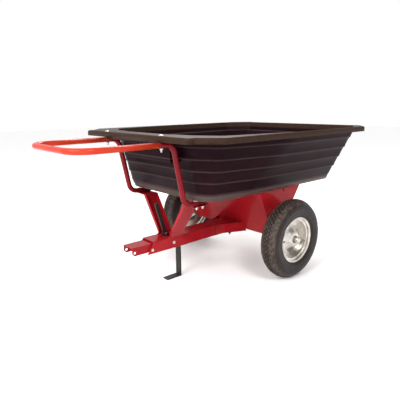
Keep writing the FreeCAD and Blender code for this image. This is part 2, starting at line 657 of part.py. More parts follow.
for name, across, turn in WHEEL_PLACES:
    place = (AXLE_X, across, "wheel_radius")

    # Tyre: round section, hollow for its tube, open between the beads.
    ring = doc.addObject("Part::Torus", name + "_tyre_ring")
    ring.setExpression("Radius1", bound("wheel_radius - tyre_section"))
    ring.setExpression("Radius2", bound("tyre_section"))
    cavity = doc.addObject("Part::Torus", name + "_tyre_cavity")
    cavity.setExpression("Radius1", bound("wheel_radius - tyre_section"))
    cavity.setExpression("Radius2", bound("tyre_section - 8"))
    mouth = doc.addObject("Part::Cylinder", name + "_tyre_mouth")
    mouth.setExpression("Radius", bound("rim_lip + 6"))
    mouth.Height = TYRE_MOUTH
    mouth.Placement = Placement(Vector(0, 0, -TYRE_MOUTH / 2), Rotation())
    hollow = doc.addObject("Part::MultiFuse", name + "_tyre_hollow")
    hollow.Shapes = [cavity, mouth]
    tyre = doc.addObject("Part::Cut", name + "_tyre")
    tyre.Base = ring
    tyre.Tool = hollow
    tyre.Placement = Placement(Vector(), Rotation(Vector(1, 0, 0), 90))
    settle(tyre, name + "_tyre", place)

    skin = doc.addObject("Part::Torus", name + "_tube_skin")
    air = doc.addObject("Part::Torus", name + "_tube_air")
    for ring, thinner in ((skin, 8.3), (air, 10.6)):
        ring.setExpression("Radius1", bound("wheel_radius - tyre_section"))
        ring.setExpression("Radius2", bound(f"tyre_section - {thinner}"))
    inner_tube = doc.addObject("Part::Cut", name + "_inner_tube")
    inner_tube.Base = skin
    inner_tube.Tool = air
    inner_tube.Placement = Placement(Vector(), Rotation(Vector(1, 0, 0), 90))
    settle(inner_tube, name + "_inner_tube", place)

    # Two pressed rim halves: lip, bead seat, well wall, joint ring and dished centre.
    for half, sign in (("outer", ""), ("inner", "-")):
        rim = turned(f"{name}_{half}_rim", [
            (f"{sign}38", "rim_lip"), (f"{sign}38", "rim_lip - 3.5"), (f"{sign}34.5", "rim_lip - 7.5"),
            (f"{sign}26.5", "rim_lip - 7.5"), (f"{sign}24", "rim_lip - 17"), (f"{sign}0.1", "rim_lip - 19"),
            (f"{sign}0.1", "62"), (f"{sign}27", "30"), (f"{sign}27", "17.1"),
            (f"{sign}29.6", "17.1"), (f"{sign}29.6", "31"), (f"{sign}2.7", "63.2"),
            (f"{sign}2.7", "rim_lip - 21.4"), (f"{sign}26", "rim_lip - 19.4"),
            (f"{sign}28.5", "rim_lip - 10"), (f"{sign}35.6", "rim_lip - 10"),
            (f"{sign}40.4", "rim_lip - 5"), (f"{sign}40.4", "rim_lip"),
        ], place, turn)
        if half == "outer":
            pocket(rim, circles(rim, "YZ_Plane", [("16", "0", "5.6")], "rim_lip - 20"), "24")

    turned(f"{name}_hub", [
        (f"-{HUB_HALF}", "12.8"), (f"{HUB_HALF}", "12.8"), (f"{HUB_HALF}", "17"), (f"-{HUB_HALF}", "17"),
    ], place, turn)
    for end, sign in (("outer", ""), ("inner", "-")):
        turned(f"{name}_{end}_bush", [
            (f"{sign}16", "axle_radius + run_clearance"), (f"{sign}43", "axle_radius + run_clearance"),
            (f"{sign}43", "16"), (f"{sign}40", "16"), (f"{sign}40", "12.75"), (f"{sign}16", "12.75"),
        ], place, turn)
    turned(f"{name}_axle_spacer", [
        ("-43.4", "axle_radius + 0.2"), ("saddle_half - track_half + 0.4", "axle_radius + 0.2"),
        ("saddle_half - track_half + 0.4", "13"), ("-43.4", "13"),
    ], place, turn)
    turned(f"{name}_axle_washer", [
        ("43.4", "axle_radius + 0.2"), ("45.4", "axle_radius + 0.2"), ("45.4", "17"), ("43.4", "17"),
    ], place, turn)
    turned(f"{name}_axle_cap", [
        ("45.6", "axle_radius + 0.05"), ("45.6", "15"), ("49", "15"), ("53", "12"), ("55.5", "6"),
        ("56", "0"), ("52.6", "0"), ("52.6", "axle_radius + 0.05"),
    ], place, turn)

    # Valve stem through the outer rim half, pointing at the hub.
    side = 1 if turn == 0.0 else -1
    stem_root = value("rim_lip - 15")
    root, inward = Vector(side * stem_root, side * 16.0, 0), Vector(-side, 0, 0)
    stem = Part.makeCylinder(5.5, 18.0, root, inward)
    stem = stem.fuse(Part.makeCylinder(3.6, 34.0, root, inward))
    solid_part(f"{name}_valve_stem", stem, place)


# ---------------------------------------------------------------- fasteners

def hexagon(across, height, base):
    corners = []
    for k in range(7):
        turn = math.radians(60.0 * k)
        corners.append(base + Vector(math.cos(turn), math.sin(turn), 0) * (across / math.sqrt(3)))
    return Part.Face(Part.makePolygon(corners)).extrude(Vector(0, 0, height))


def carriage_bolt(x, y, top, length, radius=4.0):
    """Upright bolt with a domed head standing on a surface at height top."""
    shank = Part.makeCylinder(radius, length, Vector(x, y, top - length))
    dome = Part.makeSphere(14.0, Vector(x, y, top - 8.5)).common(
        Part.makeCylinder(10.0, 8.0, Vector(x, y, top)))
    return shank.fuse(dome).removeSplitter()


def nut(x, y, top, height=6.5, across=13.0, bore=4.1):
    return hexagon(across, height, Vector(x, y, top - height)).cut(
        Part.makeCylinder(bore, height + 2.0, Vector(x, y, top - height - 1.0)))


def fastener_set(kind, places, top, *sizes):
    return Part.makeCompound([kind(x, y, top, *sizes) for x, y in places])


brim, tube_radius = value("brim_height"), value("tube_diameter / 2")
handle_low = value("handle_height") - tube_radius
head_low = value("frame_low") - tube_radius - value("gauge")
floor_top = value("floor_height + tub_wall")
wing_spots = [(WING_BOLT[0], side * WING_BOLT[1]) for side in (1, -1)]
tab_low = value("rail_bottom + 3")
solid_part("wing_bolts", fastener_set(carriage_bolt, wing_spots, tab_low + value("gauge"), 18.0))
solid_part("wing_nuts", fastener_set(nut, wing_spots, tab_low, 7.0, 15.0))
solid_part("handle_bolts", fastener_set(carriage_bolt, HANDLE_BOLTS, brim, 68.0))
solid_part("handle_nuts", fastener_set(nut, HANDLE_BOLTS, handle_low))
solid_part("frame_bolts", fastener_set(carriage_bolt, FLOOR_BOLTS, floor_top, 50.0))
solid_part("frame_nuts", fastener_set(nut, FLOOR_BOLTS, head_low))
solid_part("frame_pads", Part.makeCompound([
    bolt_hole(x, y, value("frame_low") + tube_radius, value("floor_height"), 15.0).cut(
        bolt_hole(x, y, value("frame_low"), floor_top)) for x, y in FLOOR_BOLTS]))
solid_part("saddle_bolts", fastener_set(carriage_bolt, SADDLE_BOLTS, floor_top, 18.0))
solid_part("saddle_nuts", fastener_set(nut, SADDLE_BOLTS, value("floor_height - gauge")))


def side_rivet(x, z, side):
    """Short bolt that holds a strut's foot to the rail's side wall."""
    outer = value("rail_half + gauge")
    wall = value("rail_half - gauge")
    shank = Part.makeCylinder(4.0, outer - wall, Vector(x, wall, z), Vector(0, 1, 0))
    head = Part.makeCylinder(7.5, 4.5, Vector(x, outer, z), Vector(0, 1, 0))
    rivet = shank.fuse(head).fuse(Part.makeCylinder(6.0, 1.6, Vector(x, wall - 1.6, z), Vector(0, 1, 0)))
    rivet = rivet.removeSplitter()
    return rivet if side > 0 else mirrored(rivet)


solid_part("strut_foot_bolts", Part.makeCompound(
    [side_rivet(x, z, side) for x, z in RAIL_BOLTS for side in (1, -1)]))


# ---------------------------------------------------------------- checks and files

doc.recompute()
for thing in doc.Objects:
    if "Invalid" in thing.State or "Error" in thing.State:
        raise RuntimeError(f"{thing.Label} did not recompute: {thing.State}")
labels = [thing.Label for thing in SUB_PARTS]
if len(set(labels)) != len(labels):
    raise RuntimeError("two sub-parts share a label")
os.makedirs("parts", exist_ok=True)
for thing in SUB_PARTS:
    shape = thing.Shape
    if shape.isNull() or not shape.isValid():
        raise RuntimeError(f"{thing.Label} has a bad shape")
    shape.exportStep(f"parts/{thing.Label}.step")
box = Part.makeCompound([thing.Shape for thing in SUB_PARTS]).BoundBox
print(len(SUB_PARTS), "sub-parts, box", box)
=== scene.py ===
import math
import bmesh
import bpy
from mathutils import Matrix, Vector
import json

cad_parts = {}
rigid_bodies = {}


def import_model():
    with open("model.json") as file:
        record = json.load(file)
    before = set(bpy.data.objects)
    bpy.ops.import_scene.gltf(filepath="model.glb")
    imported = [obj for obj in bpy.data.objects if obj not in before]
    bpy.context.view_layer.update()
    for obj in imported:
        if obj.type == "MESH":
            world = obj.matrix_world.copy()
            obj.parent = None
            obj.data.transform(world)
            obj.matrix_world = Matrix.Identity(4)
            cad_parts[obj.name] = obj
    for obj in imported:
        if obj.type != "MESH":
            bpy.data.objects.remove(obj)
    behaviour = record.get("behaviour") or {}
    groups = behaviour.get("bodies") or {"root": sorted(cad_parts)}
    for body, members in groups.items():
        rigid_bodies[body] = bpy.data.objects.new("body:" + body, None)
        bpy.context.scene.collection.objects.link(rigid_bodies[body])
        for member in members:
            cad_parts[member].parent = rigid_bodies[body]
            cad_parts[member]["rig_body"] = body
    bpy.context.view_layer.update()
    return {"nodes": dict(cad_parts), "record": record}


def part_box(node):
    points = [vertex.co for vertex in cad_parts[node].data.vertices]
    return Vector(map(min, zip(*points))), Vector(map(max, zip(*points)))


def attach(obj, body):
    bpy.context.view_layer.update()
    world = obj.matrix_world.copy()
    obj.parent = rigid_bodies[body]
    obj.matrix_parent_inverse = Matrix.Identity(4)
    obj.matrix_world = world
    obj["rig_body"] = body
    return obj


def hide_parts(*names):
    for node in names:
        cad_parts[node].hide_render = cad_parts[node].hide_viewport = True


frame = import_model()
axleX, axleZ = -0.23785, 0.203   # the axle, in the cart's frame
print("frame loaded:", len(frame["nodes"]), "nodes")


# sockets that take part in plain expressions
class Wire:
    def __init__(self, finish, plug):
        self.finish = finish
        self.plug = plug

    def calc(self, operation, first, second):
        return self.finish.node("ShaderNodeMath", {"operation": operation}, {0: first, 1: second})

    def __add__(self, other):
        return self.calc("ADD", self, other)

    def __radd__(self, other):
        return self.calc("ADD", other, self)

    def __sub__(self, other):
        return self.calc("SUBTRACT", self, other)

    def __rsub__(self, other):
        return self.calc("SUBTRACT", other, self)

    def __mul__(self, other):
        return self.calc("MULTIPLY", self, other)

    def __rmul__(self, other):
        return self.calc("MULTIPLY", other, self)

    def __truediv__(self, other):
        return self.calc("DIVIDE", self, other)

    def __rtruediv__(self, other):
        return self.calc("DIVIDE", other, self)

    def __pow__(self, other):
        return self.calc("POWER", self, other)

    def __mod__(self, other):
        return self.calc("MODULO", self, other)


class Finish:
    def __init__(self, name):
        self.material = bpy.data.materials.new(name)
        self.material.use_nodes = True
        self.tree = self.material.node_tree
        self.tree.nodes.clear()
        self.spot = self.node("ShaderNodeTexCoord", out="Object")

    def node(self, kind, settings=None, values=None, out=0):
        made = self.tree.nodes.new(kind)
        for word, value in (settings or {}).items():
            if word == "stops":
                elements = made.color_ramp.elements
                while len(elements) < len(value):
                    elements.new(0.5)
                for element, (place, grey) in zip(elements, value):
                    element.position = place
                    element.color = (grey, grey, grey, 1.0)
            else:
                setattr(made, word, value)
        for word, value in (values or {}).items():
            socket = made.inputs[word]
            if isinstance(value, Wire):
                self.tree.links.new(value.plug, socket)
            elif socket.type == "RGBA":
                socket.default_value = (*value, 1.0)
            else:
                socket.default_value = value
        return Wire(self, made.outputs[out]) if made.outputs else made

    def moved(self, shift=(0, 0, 0), scale=(1, 1, 1), turn=(0, 0, 0)):
        return self.node("ShaderNodeMapping", {}, {"Vector": self.spot, "Location": shift,
                                                   "Scale": scale, "Rotation": turn})

    def noise(self, scale, detail=3.0, place=None, warp=0.0, rough=0.55):
        return self.node("ShaderNodeTexNoise", {},
                         {"Vector": place or self.spot, "Scale": scale, "Detail": detail,
                          "Distortion": warp, "Roughness": rough})

    def ramp(self, value, *stops):
        return self.node("ShaderNodeValToRGB", {"stops": stops}, {"Fac": value})

    def tint(self, mask, low, high):
        return self.node("ShaderNodeMix", {"data_type": "RGBA"}, {0: mask, 6: low, 7: high}, 2)

    def axis(self, name, place=None):
        return self.node("ShaderNodeSeparateXYZ", {}, {0: place or self.spot}, name)

    def band(self, value, low, high):
        return self.node("ShaderNodeMapRange", {"interpolation_type": "SMOOTHSTEP"},
                         {"Value": value, "From Min": low, "From Max": high})

    def bump(self, height, strength, distance, below=None):
        values = {"Height": height, "Strength": strength, "Distance": distance}
        if below:
            values["Normal"] = below
        return self.node("ShaderNodeBump", {}, values)

    def done(self, **sockets):
        words = {"colour": "Base Color", "rough": "Roughness", "metal": "Metallic",
                 "coat": "Coat Weight", "coatRough": "Coat Roughness", "normal": "Normal",
                 "specular": "Specular IOR Level"}
        shader = self.node("ShaderNodeBsdfPrincipled", {}, {words[w]: v for w, v in sockets.items()})
        self.node("ShaderNodeOutputMaterial", {}, {"Surface": shader})
        return self.material


finishes = {}


# moulded tub: brown black plastic with a fine grain, the brim painted paler, partly fade and partly
# painted light on its top, and a painted highlight along each strake's edge
tubLook = {
    "deep": (0.0070, 0.0012, 0.0032), "light": (0.0135, 0.0042, 0.0058), "scuff": (0.060, 0.040, 0.033),
    # of these, the strakes' pale line is a painted highlight, the knuckle's band a painted reflection
    # of the floor, and the brim's paler tone partly fade and partly painted light
    "faded": (0.036, 0.0195, 0.0125), "rubbed": (0.050, 0.032, 0.033), "band": (0.090, 0.060, 0.054),
    "grainSize": 620.0, "roughLow": 0.32, "roughHigh": 0.48, "specular": 0.035,
    # heights: the first strake and the step to the next, then where three changes start and end
    "strakeFrom": 0.480, "strakeRise": 0.053,
    "strakesEnd": (0.700, 0.704), "knuckleEnd": (0.474, 0.486), "brimStart": (0.716, 0.726),
}


def tubPlastic():
    f = Finish("mouldedTubPlastic")
    height = f.axis("Z")
    cloud = f.noise(3.2, 4.0)
    mottle = f.noise(38.0, 3.0)
    grain = f.noise(tubLook["grainSize"], 2.0)
    drawn = f.noise(9.0, 4.0, f.moved(scale=(1.0, 1.0, 14.0)), warp=0.4)
    slanted = f.moved(scale=(1.0, 1.0, 9.0), turn=(0.2, 0.5, 0.3))
    scratch = f.ramp(f.noise(46.0, 5.0, slanted, warp=1.2), (0.62, 0.0), (0.70, 1.0))
    scuff = scratch * f.ramp(cloud, (0.45, 0.0), (0.7, 1.0)) * 0.35
    # a painted highlight on each strake's edge, a painted reflection of the floor on the knuckle below
    # them, and the brim above painted paler, partly fade and partly painted light
    along = (height - tubLook["strakeFrom"]) % tubLook["strakeRise"] / tubLook["strakeRise"]
    above = f.band(height, *tubLook["strakesEnd"])
    # painted highlight: a pale line just above each strake's joint, along the bead's rounded edge
    line = f.ramp(along, (0.02, 0.0), (0.07, 1.0), (0.13, 0.9), (0.20, 0.0)) * (1 - above)
    # painted reflection: the tub below the knuckle is painted pale where the white floor reflects in it
    band = 1 - f.band(height, *tubLook["knuckleEnd"])
    # the brim and skirt painted paler: partly fade, partly painted light on the up-facing brim
    brim = f.band(height, *tubLook["brimStart"])
    patches = f.ramp(cloud * 0.6 + mottle * 0.4, (0.3, 0.0), (0.72, 1.0))
    body = f.tint(patches, tubLook["deep"], tubLook["light"])
    colour = f.tint(brim * (0.45 + mottle * 0.8), body, tubLook["faded"])
    colour = f.tint(line * (0.25 + drawn * 0.7), colour, tubLook["rubbed"])
    colour = f.tint(band * (0.3 + cloud * 0.8), colour, tubLook["band"])
    colour = f.tint(scuff, colour, tubLook["scuff"])
    span = tubLook["roughHigh"] - tubLook["roughLow"]
    rough = tubLook["roughLow"] + span * (cloud * 0.5 + drawn * 0.5)
    skin = f.bump(drawn, 0.10, 0.0025)
    return f.done(colour=colour, rough=rough + scuff * 0.4 + line * 0.06,
                  normal=f.bump(grain, 0.16, 0.0006, skin), specular=tubLook["specular"])


# powder coat: orange peel, slow colour drift, a few dull rubbed patches and chips
coatLook = {"chip": (0.05, 0.035, 0.03), "specular": 0.12, "coatRough": 0.12}


def powderCoat(name, deep, light, coat, rough):
    f = Finish(name)
    drift = f.noise(6.0, 3.0)
    peel = f.noise(330.0, 2.0)
    speck = f.noise(900.0, 1.0)
    rub = f.ramp(f.noise(21.0, 5.0, warp=0.3), (0.50, 0.0), (0.80, 1.0))
    chip = f.ramp(f.noise(150.0, 2.0, f.moved(shift=(0.3, 0.1, 0.7))), (0.765, 0.0), (0.775, 1.0))
    paint = f.tint(f.ramp(drift * 0.7 + speck * 0.3, (0.34, 0.0), (0.66, 1.0)), deep, light)
    colour = f.tint(chip, paint, coatLook["chip"])
    return f.done(colour=colour, rough=rough + rub * 0.08 + chip * 0.3, coat=coat,
                  coatRough=coatLook["coatRough"], specular=coatLook["specular"],
                  normal=f.bump(peel - chip * 0.8, 0.12, 0.0009))


# zinc plate: grey with a faint yellow passivation and fine crystals
def zincPlate(name, deep, light, rough, spangle):
    f = Finish(name)
    bloom = f.noise(26.0, 4.0)
    crystal = f.node("ShaderNodeTexVoronoi", {"feature": "F1"},
                     {"Vector": f.spot, "Scale": spangle}, "Color")
    flake = f.axis("X", crystal)
    colour = f.tint(f.ramp(bloom * 0.6 + flake * 0.4, (0.25, 0.0), (0.75, 1.0)), deep, light)
    scratch = f.noise(240.0, 3.0, f.moved(scale=(1.0, 0.15, 1.0), turn=(0.4, 0.1, 0.2)))
    return f.done(colour=colour, metal=1.0, rough=rough + bloom * 0.10 + flake * 0.08 + scratch * 0.05,
                  normal=f.bump(scratch, 0.05, 0.0004))


# pressed rim: drawn in rings round the wheel, cloudy between bright and dull
rimLook = {"dull": (0.40, 0.365, 0.325), "bright": (0.74, 0.705, 0.655), "stain": (0.27, 0.22, 0.17)}


def wheelRadius(f):
    x = f.axis("X") - axleX
    z = f.axis("Z") - axleZ
    return (x * x + z * z) ** 0.5


def rimZinc():
    f = Finish("pressedRimZinc")
    radius = wheelRadius(f)
    rings = f.node("ShaderNodeTexNoise", {"noise_dimensions": "1D"},
                   {"W": radius, "Scale": 900.0, "Detail": 2.0})
    bloom = f.noise(19.0, 5.0, warp=0.6)
    spot = f.ramp(f.noise(70.0, 4.0), (0.60, 0.0), (0.72, 1.0))
    cloudy = f.ramp(bloom * 0.7 + rings * 0.3, (0.32, 0.0), (0.66, 1.0))
    colour = f.tint(cloudy, rimLook["dull"], rimLook["bright"])
    colour = f.tint(spot * 0.3, colour, rimLook["stain"])
    return f.done(colour=colour, metal=1.0, rough=0.20 + bloom * 0.18 + spot * 0.12,
                  normal=f.bump(rings, 0.06, 0.0006))


# tyre: matt rubber, dusty in the tread with a painted highlight on the blocks' faces, a slight sheen on
# the wall with fine mould rings
tyreLook = {
    # its pale dust colour also makes the painted highlight on the blocks' faces
    "rubber": (0.0085, 0.0048, 0.0046), "worn": (0.022, 0.0135, 0.012), "dust": (0.085, 0.062, 0.050),
    "specular": 0.22,
    # radius where the tread starts, the middle of the tyre's section, and how far from it
    # the gaps end and the blocks' faces begin
    "treadStart": (0.176, 0.186), "middle": 0.1535, "track": 0.3985, "face": (0.0468, 0.0482),
}


def tyreRubber():
    f = Finish("tyreRubber")
    radius = wheelRadius(f)
    tread = f.band(radius, *tyreLook["treadStart"])
    cloud = f.noise(24.0, 4.0)
    fine = f.noise(420.0, 3.0)
    rings = f.node("ShaderNodeTexWave",
                   {"wave_type": "RINGS", "rings_direction": "Y", "wave_profile": "SIN"},
                   {"Vector": f.moved(shift=(-axleX, 0.0, -axleZ)), "Scale": 62.0, "Distortion": 0.0})
    wall = f.tint(f.ramp(cloud, (0.35, 0.0), (0.7, 1.0)), tyreLook["rubber"], tyreLook["worn"])
    # the blocks' faces are painted paler than the gaps between them: a painted highlight on the block
    # tops, with dust over it
    across = f.node("ShaderNodeMath", {"operation": "ABSOLUTE"}, {0: f.axis("Y")}) - tyreLook["track"]
    outwards = radius - tyreLook["middle"]
    section = (across * across + outwards * outwards) ** 0.5
    face = f.band(section, *tyreLook["face"]) * tread
    dust = f.ramp(f.noise(60.0, 4.0), (0.40, 0.0), (0.74, 1.0))
    # dust in the tread plus a painted highlight on the blocks' faces
    dustAndBlockHighlight = dust * (0.10 + face * 0.75) + face * 0.22
    colour = f.tint(dustAndBlockHighlight, wall, tyreLook["dust"])
    height = fine * 0.5 + rings * (1.0 - tread) * 0.5
    return f.done(colour=colour, rough=0.36 + cloud * 0.14 + face * 0.14,
                  normal=f.bump(height, 0.22, 0.0007), specular=tyreLook["specular"])


# plain rubber and nylon for the small hidden pieces
def plainMoulding(name, deep, light, rough):
    f = Finish(name)
    cloud = f.noise(40.0, 3.0)
    grain = f.noise(500.0, 2.0)
    return f.done(colour=f.tint(cloud, deep, light), rough=rough + cloud * 0.12,
                  normal=f.bump(grain, 0.15, 0.0005))


# drawn steel, brushed along the cart's width
steelLook = {"dull": (0.30, 0.29, 0.28), "bright": (0.52, 0.51, 0.49)}


def drawnSteel():
    f = Finish("drawnAxleSteel")
    lines = f.noise(160.0, 3.0, f.moved(scale=(1.0, 0.03, 1.0)))
    bloom = f.noise(22.0, 4.0)
    colour = f.tint(f.ramp(bloom, (0.35, 0.0), (0.7, 1.0)), steelLook["dull"], steelLook["bright"])
    return f.done(colour=colour, metal=1.0, rough=0.26 + lines * 0.16 + bloom * 0.1,
                  normal=f.bump(lines, 0.1, 0.0004))


# deep and light colour, then clear coat and roughness
paints = {
    "handleRed": ((0.37, 0.024, 0.009), (0.47, 0.038, 0.016), 0.03, 0.23),
    "frameRed": ((0.245, 0.005, 0.009), (0.35, 0.010, 0.014), 0.06, 0.22),
    # the frame tubes' red is a darker copy of the frame red: painted shade under the brim
    "tubeRed": ((0.12, 0.002, 0.005), (0.18, 0.004, 0.008), 0.04, 0.22),
    "black": ((0.014, 0.011, 0.012), (0.030, 0.025, 0.024), 0.05, 0.38),
}
# deep and light colour, then roughness and how fine the crystals are
plates = {
    "brightZinc": ((0.50, 0.48, 0.42), (0.74, 0.72, 0.66), 0.20, 420.0),
    "blackOxide": ((0.035, 0.033, 0.035), (0.085, 0.08, 0.08), 0.36, 380.0),
}
# deep and light colour, then roughness
mouldings = {
    "valveRubber": ((0.018, 0.017, 0.018), (0.04, 0.037, 0.036), 0.45),
    "naturalNylon": ((0.52, 0.50, 0.44), (0.66, 0.64, 0.58), 0.38),
}

finishes["tub_plastic"] = tubPlastic()
finishes["handle_paint"] = powderCoat("handleRedPowderCoat", *paints["handleRed"])
finishes["frame_paint"] = powderCoat("frameRedPowderCoat", *paints["frameRed"])
# painted shade: a darker copy of the frame paint for the frame tubes under the brim
tubeRed = powderCoat("frameTubeRedPowderCoat", *paints["tubeRed"])
finishes["black_paint"] = powderCoat("blackSatinCoat", *paints["black"])
finishes["zinc"] = zincPlate("brightZincPlate", *plates["brightZinc"])
finishes["black_fastener"] = zincPlate("blackOxide", *plates["blackOxide"])
finishes["axle_steel"] = drawnSteel()
finishes["rim_zinc"] = rimZinc()
finishes["tyre_rubber"] = tyreRubber()
finishes["tube_rubber"] = plainMoulding("valveRubber", *mouldings["valveRubber"])
finishes["nylon"] = plainMoulding("naturalNylon", *mouldings["naturalNylon"])
print("finishes made:", len(finishes))

slotOf = {entry["node"]: entry["material_slot"] for entry in frame["record"]["subparts"]}
for nodeName, cadObject in frame["nodes"].items():
    cadObject.data.materials.clear()
    cadObject.data.materials.append(finishes[slotOf[nodeName]])


# putting a finished mesh into the scene
def addPiece(bm, name, *nodes, crease=32.0, finish=None):
    mesh = bpy.data.meshes.new(name)
    bm.to_mesh(mesh)
    bm.free()
    mesh.shade_smooth()
    mesh.set_sharp_from_angle(angle=math.radians(crease))
    piece = bpy.data.objects.new(name, mesh)
    bpy.context.scene.collection.objects.link(piece)
    slotName = slotOf[nodes[0]]
    mesh.materials.append(finish or finishes[slotName])
    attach(piece, frame["nodes"][nodes[0]]["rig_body"])
    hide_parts(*nodes)
    return piece


def softEdges(piece, width, angle=30.0, segments=2):
    rounder = piece.modifiers.new("roundedEdges", "BEVEL")
    rounder.width = width
    rounder.segments = segments
    rounder.limit_method = "ANGLE"
    rounder.angle_limit = math.radians(angle)
    rounder.harden_normals = True
    rounder.use_clamp_overlap = True


def sheetThickness(piece, thickness, side=-1.0, even=True):
    wall = piece.modifiers.new("wall", "SOLIDIFY")
    wall.thickness = thickness
    wall.offset = side
    wall.use_even_offset = even


def outward(bm):
    bmesh.ops.remove_doubles(bm, verts=bm.verts, dist=1e-6)
    bmesh.ops.recalc_face_normals(bm, faces=bm.faces)


def camel(words):
    first, *rest = words.split("_")
    return first + "".join(word.capitalize() for word in rest)


# sheet, bar and fastener pieces: the frame's own shape, merged, with its edges rounded
dressing = {"sheetEdge": 0.0013, "fineEdge": 0.0005, "edgeAngle": 34.0, "flatWithin": 0.5}


def dressed(nodeName, edge, segments=2):
    bm = bmesh.new()
    bm.from_mesh(frame["nodes"][nodeName].data)
    bmesh.ops.remove_doubles(bm, verts=bm.verts, dist=1e-5)
    bmesh.ops.dissolve_limit(bm, angle_limit=math.radians(dressing["flatWithin"]), verts=bm.verts,
                             edges=bm.edges)
    softEdges(addPiece(bm, camel(nodeName), nodeName), edge, dressing["edgeAngle"], segments)


for nodeName in ("left_strut", "right_strut", "bed_rail", "rail_wings", "drawbar",
                 "saddle_front_panel", "saddle_rear_panel", "left_saddle_plate", "right_saddle_plate"):
    dressed(nodeName, dressing["sheetEdge"], 3)
for nodeName in ("stand_leg", "latch_lever", "latch_bracket", "stand_pin", "latch_pin",
                 "handle_bolts", "handle_nuts", "frame_bolts", "frame_nuts", "saddle_bolts",
                 "saddle_nuts", "strut_foot_bolts", "wing_bolts", "wing_nuts", "axle",
                 "left_axle_spacer", "right_axle_spacer", "left_axle_washer", "right_axle_washer",
                 "left_axle_cap", "right_axle_cap", "left_hub", "right_hub"):
    dressed(nodeName, dressing["fineEdge"])
print("sheet pieces and fasteners dressed")


# tub: one sheet drawn up strake by strake, its brim turned over into a skirt
tub = {
    # each wall of the left half: the way it faces, in degrees from straight ahead, then its
    # distance from a line above the middle of the axle at the floor, the knuckle and the brim
    "walls": ((0.0, 0.495, 0.506, 0.570), (31.0, 0.556, 0.573, 0.636), (79.0, 0.386, 0.405, 0.503),
              (90.0, 0.322, 0.356, 0.492), (121.0, 0.493, 0.505, 0.629), (180.0, 0.462, 0.478, 0.553)),
    "floor": 0.450, "knuckle": 0.480, "brim": 0.750, "thickness": 0.0045,
    # where the flat of the floor ends inside its walls, and the first loop of the turn outside
    # them and above the floor
    "floorInset": 0.010, "turnOut": 0.002, "turnRise": 0.0012,
    # the turn between floor and knuckle: share of the way up, then how far it stands proud
    "turn": ((0.55, 0.0), (0.86, -0.0006), (1.0, -0.0030)), "aboveKnuckle": 0.006,
    "strakes": 5, "strakeRise": 0.053, "strakeStep": 0.0035, "belowStrake": 0.0015,
    # the bead along a strake's lower edge: height above the joint, then how far it stands proud
    "bead": ((0.0010, -0.0014), (0.0026, 0.0004), (0.0046, 0.0014), (0.0072, 0.0012), (0.0120, 0.0)),
    "bossHalf": 0.186, "bossFront": 0.596, "bossLow": 0.626, "bossLedge": 0.004,
    # left half of the rim from the front: X from the axle, Y, then the share of an inset in each
    "rim": ((0.680, 0.190, -1, 0), (0.680, 0.199, -1, 0), (0.680, 0.409, -1, -1),
            (0.650, 0.409, -1, -1), (0.566, 0.500, -0.5, -1), (-0.490, 0.500, 0.5, -1),
            (-0.583, 0.425, 1, -0.5), (-0.583, 0.330, 1, 0), (-0.569, 0.330, 1, 0),
            (-0.569, 0.320, 1, 0), (-0.583, 0.320, 1, 0)),
    "skirt": 0.026, "middleSkirt": 0.034, "middleHalf": 0.195, "skirtFlare": 0.0015,
    "skirtEnds": (-0.5785, 0.6755), "skirtHalf": 0.4955,
    # corners nearer the middle than these stay sharp, at the boss and on the rim's front and rear
    "bossSharp": 0.19, "frontSharp": (0.43, 0.3), "rearSharp": (-0.80, 0.34),
    "cornerRound": 0.042, "cornerShare": 0.47, "rimRound": 0.010, "rimRoll": 0.003,
    "tolerance": 0.0005,
}


def crossing(first, second):
    a, b = math.radians(first[0]), math.radians(second[0])
    span = math.sin(b - a)
    return Vector(((first[1] * math.sin(b) - second[1] * math.sin(a)) / span,
                   (second[1] * math.cos(a) - first[1] * math.cos(b)) / span))


def tubPlan(distances, height):
    walls = [(wall[0], distance) for wall, distance in zip(tub["walls"], distances)]
    left = [crossing(walls[i], walls[i + 1]) for i in range(len(walls) - 1)]
    left.insert(0, Vector((distances[0], tub["bossHalf"])))
    plan = left + [Vector((p.x, -p.y)) for p in reversed(left)]
    return [Vector((p.x + axleX, p.y, height)) for p in plan]


def tubLevels():
    knuckle, top = tub["knuckle"], tub["brim"] - tub["thickness"]
    gain = [(wall[3] - wall[2] - (tub["strakes"] - 1) * tub["strakeStep"]) / (tub["brim"] - knuckle)
            for wall in tub["walls"]]

    def at(height, strake, proud=0.0):
        out = tub["strakeStep"] * strake + proud
        return tubPlan([wall[2] + slope * (height - knuckle) + out
                        for wall, slope in zip(tub["walls"], gain)], height)

    # floor, a rounded turn at the knuckle, then each strake with the bead along its lower edge
    levels = [tubPlan([wall[1] - tub["floorInset"] for wall in tub["walls"]], tub["floor"]),
              tubPlan([wall[1] + tub["turnOut"] for wall in tub["walls"]],
                      tub["floor"] + tub["turnRise"])]
    for part, proud in tub["turn"]:
        distances = [wall[1] + (wall[2] - wall[1]) * part + proud for wall in tub["walls"]]
        levels.append(tubPlan(distances, tub["floor"] + (knuckle - tub["floor"]) * part))
    levels.append(at(knuckle + tub["aboveKnuckle"], 0))
    for strake in range(1, tub["strakes"]):
        height = knuckle + strake * tub["strakeRise"]
        if height - tub["strakeRise"] < tub["bossLow"] < height:
            levels.append(at(tub["bossLow"], strake - 1))
        levels.append(at(height - tub["belowStrake"], strake - 1))
        for rise, proud in tub["bead"]:
            levels.append(at(height + rise, strake, proud))
    levels.append(at(top, tub["strakes"] - 1))
    return levels


def rimOutline(inset, height):
    side = [(x + inset * alongX, y + inset * alongY) for x, y, alongX, alongY in tub["rim"]]
    return [Vector((x + axleX, y, height)) for x, y in side + [(x, -y) for x, y in reversed(side)]]


def edgesOf(result):
    return [item for item in result["geom"] if isinstance(item, bmesh.types.BMEdge)]


def vertsOf(result):
    return [item for item in result["geom"] if isinstance(item, bmesh.types.BMVert)]


